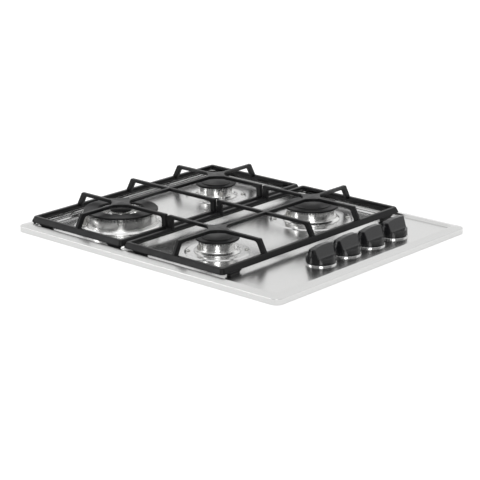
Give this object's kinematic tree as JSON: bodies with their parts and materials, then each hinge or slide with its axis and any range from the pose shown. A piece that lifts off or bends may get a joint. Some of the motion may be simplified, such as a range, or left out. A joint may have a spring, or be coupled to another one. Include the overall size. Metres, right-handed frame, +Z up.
{
  "type": "gas cooktop",
  "caption": "Built-in gas cooktop: brushed steel top with sealed burners, cast grates, side knobs, under-tray, gas rail, taps and spark ignition.",
  "frame": {"origin": "middle of the flat underside of the under-tray, below the middle of the steel top", "axes": "+Z up; +X to the right along the front edge, towards the knobs; +Y from the front edge to the back edge"},
  "size_m": [0.59, 0.5, 0.1],
  "materials": {
    "top_steel": "brushed, bright, with a fine straight grain",
    "tray_steel": "galvanised sheet, matte",
    "seal_foam": "soft closed-cell foam",
    "zinc_steel": "zinc-plated small parts",
    "grate_iron": "matte black enamel over a cast surface",
    "foot_rubber": "moulded rubber",
    "burner_cast": "die-cast, polished on top",
    "crown_cast": "bright turned casting",
    "cap_enamel": "satin black enamel",
    "brass": "turned brass",
    "ceramic": "glazed white ceramic",
    "rod_steel": "drawn wire",
    "rail_steel": "zinc-plated tube",
    "tube_aluminium": "drawn tube",
    "knob_plastic": "moulded black with a satin gloss",
    "bezel_chrome": "chrome-plated",
    "inner_plastic": "moulded, pale",
    "black_plastic": "moulded, black",
    "lead_silicone": "silicone sleeve"
  },
  "bodies": {
    "root": {"base_tray": "tray_steel", "burner_base_front_left": "burner_cast", "burner_base_front_right": "burner_cast", "burner_base_rear_left": "burner_cast", "burner_base_rear_right": "burner_cast", "burner_screws": "zinc_steel", "clamp_screws": "zinc_steel", "cord_gland": "black_plastic", "electrode_insulators": "ceramic", "electrode_rods": "rod_steel", "feed_leads": "lead_silicone", "gas_injectors": "brass", "gas_rail": "rail_steel", "gas_tubes": "tube_aluminium", "hob_top": "top_steel", "ignition_switches": "black_plastic", "inlet_fitting": "brass", "knob_bezels": "bezel_chrome", "rail_plug": "rail_steel", "rail_supports": "zinc_steel", "return_spring_1": "zinc_steel", "return_spring_2": "zinc_steel", "return_spring_3": "zinc_steel", "return_spring_4": "zinc_steel", "spark_generator": "black_plastic", "spark_leads": "lead_silicone", "tap_1": "brass", "tap_2": "brass", "tap_3": "brass", "tap_4": "brass", "terminal_block": "inner_plastic", "tray_brackets": "zinc_steel", "tray_screws": "zinc_steel", "tray_sides": "tray_steel", "worktop_clamps": "zinc_steel", "worktop_seal": "seal_foam"},
    "left_grate": {"left_grate": "grate_iron", "left_grate_pads": "foot_rubber"},
    "right_grate": {"right_grate": "grate_iron", "right_grate_pads": "foot_rubber"},
    "crown_front_left": {"burner_crown_front_left": "crown_cast"},
    "cap_front_left": {"burner_cap_front_left": "cap_enamel"},
    "crown_rear_left": {"burner_crown_rear_left": "crown_cast"},
    "cap_rear_left": {"burner_cap_rear_left": "cap_enamel"},
    "crown_front_right": {"burner_crown_front_right": "crown_cast"},
    "cap_front_right": {"burner_cap_front_right": "cap_enamel"},
    "crown_rear_right": {"burner_crown_rear_right": "crown_cast"},
    "cap_rear_right": {"burner_cap_rear_right": "cap_enamel"},
    "inner_cap_front_left": {"inner_cap_front_left": "cap_enamel"},
    "push_1": {"push_collar_1": "zinc_steel"},
    "knob_1": {"knob_1": "knob_plastic", "spindle_1": "zinc_steel"},
    "push_2": {"push_collar_2": "zinc_steel"},
    "knob_2": {"knob_2": "knob_plastic", "spindle_2": "zinc_steel"},
    "push_3": {"push_collar_3": "zinc_steel"},
    "knob_3": {"knob_3": "knob_plastic", "spindle_3": "zinc_steel"},
    "push_4": {"push_collar_4": "zinc_steel"},
    "knob_4": {"knob_4": "knob_plastic", "spindle_4": "zinc_steel"}
  },
  "joints": [
    {"name": "left_grate_lift", "type": "slide", "parent": "root", "child": "left_grate", "axis": [0, 0, 1], "range_m": [0, 0.12]},
    {"name": "right_grate_lift", "type": "slide", "parent": "root", "child": "right_grate", "axis": [0, 0, 1], "range_m": [0, 0.12]},
    {"name": "crown_lift_front_left", "type": "slide", "parent": "root", "child": "crown_front_left", "axis": [0, 0, 1], "range_m": [0, 0.002]},
    {"name": "cap_lift_front_left", "type": "slide", "parent": "crown_front_left", "child": "cap_front_left", "axis": [0, 0, 1], "range_m": [0, 0.0025]},
    {"name": "crown_lift_rear_left", "type": "slide", "parent": "root", "child": "crown_rear_left", "axis": [0, 0, 1], "range_m": [0, 0.003]},
    {"name": "cap_lift_rear_left", "type": "slide", "parent": "crown_rear_left", "child": "cap_rear_left", "axis": [0, 0, 1], "range_m": [0, 0.003]},
    {"name": "crown_lift_front_right", "type": "slide", "parent": "root", "child": "crown_front_right", "axis": [0, 0, 1], "range_m": [0, 0.003]},
    {"name": "cap_lift_front_right", "type": "slide", "parent": "crown_front_right", "child": "cap_front_right", "axis": [0, 0, 1], "range_m": [0, 0.003]},
    {"name": "crown_lift_rear_right", "type": "slide", "parent": "root", "child": "crown_rear_right", "axis": [0, 0, 1], "range_m": [0, 0.003]},
    {"name": "cap_lift_rear_right", "type": "slide", "parent": "crown_rear_right", "child": "cap_rear_right", "axis": [0, 0, 1], "range_m": [0, 0.003]},
    {"name": "inner_cap_lift_front_left", "type": "slide", "parent": "crown_front_left", "child": "inner_cap_front_left", "axis": [0, 0, 1], "range_m": [0, 0.002]},
    {"name": "knob_1_press", "type": "slide", "parent": "root", "child": "push_1", "axis": [0, 0, -1], "range_m": [0, 0.0025], "stiffness_N_per_m": 900, "springref_m": -0.001, "deforming": ["return_spring_1"]},
    {"name": "knob_1_turn", "type": "hinge", "parent": "push_1", "child": "knob_1", "pos_m": [0.2275, -0.0629, 0.0645], "axis": [0, 0, 1], "range_deg": [0, 180]},
    {"name": "knob_2_press", "type": "slide", "parent": "root", "child": "push_2", "axis": [0, 0, -1], "range_m": [0, 0.0025], "stiffness_N_per_m": 900, "springref_m": -0.001, "deforming": ["return_spring_2"]},
    {"name": "knob_2_turn", "type": "hinge", "parent": "push_2", "child": "knob_2", "pos_m": [0.2275, 0.0017, 0.0645], "axis": [0, 0, 1], "range_deg": [0, 180]},
    {"name": "knob_3_press", "type": "slide", "parent": "root", "child": "push_3", "axis": [0, 0, -1], "range_m": [0, 0.0025], "stiffness_N_per_m": 900, "springref_m": -0.001, "deforming": ["return_spring_3"]},
    {"name": "knob_3_turn", "type": "hinge", "parent": "push_3", "child": "knob_3", "pos_m": [0.2275, 0.0663, 0.0645], "axis": [0, 0, 1], "range_deg": [0, 180]},
    {"name": "knob_4_press", "type": "slide", "parent": "root", "child": "push_4", "axis": [0, 0, -1], "range_m": [0, 0.0025], "stiffness_N_per_m": 900, "springref_m": -0.001, "deforming": ["return_spring_4"]},
    {"name": "knob_4_turn", "type": "hinge", "parent": "push_4", "child": "knob_4", "pos_m": [0.2275, 0.1309, 0.0645], "axis": [0, 0, 1], "range_deg": [0, 180]}
  ]
}
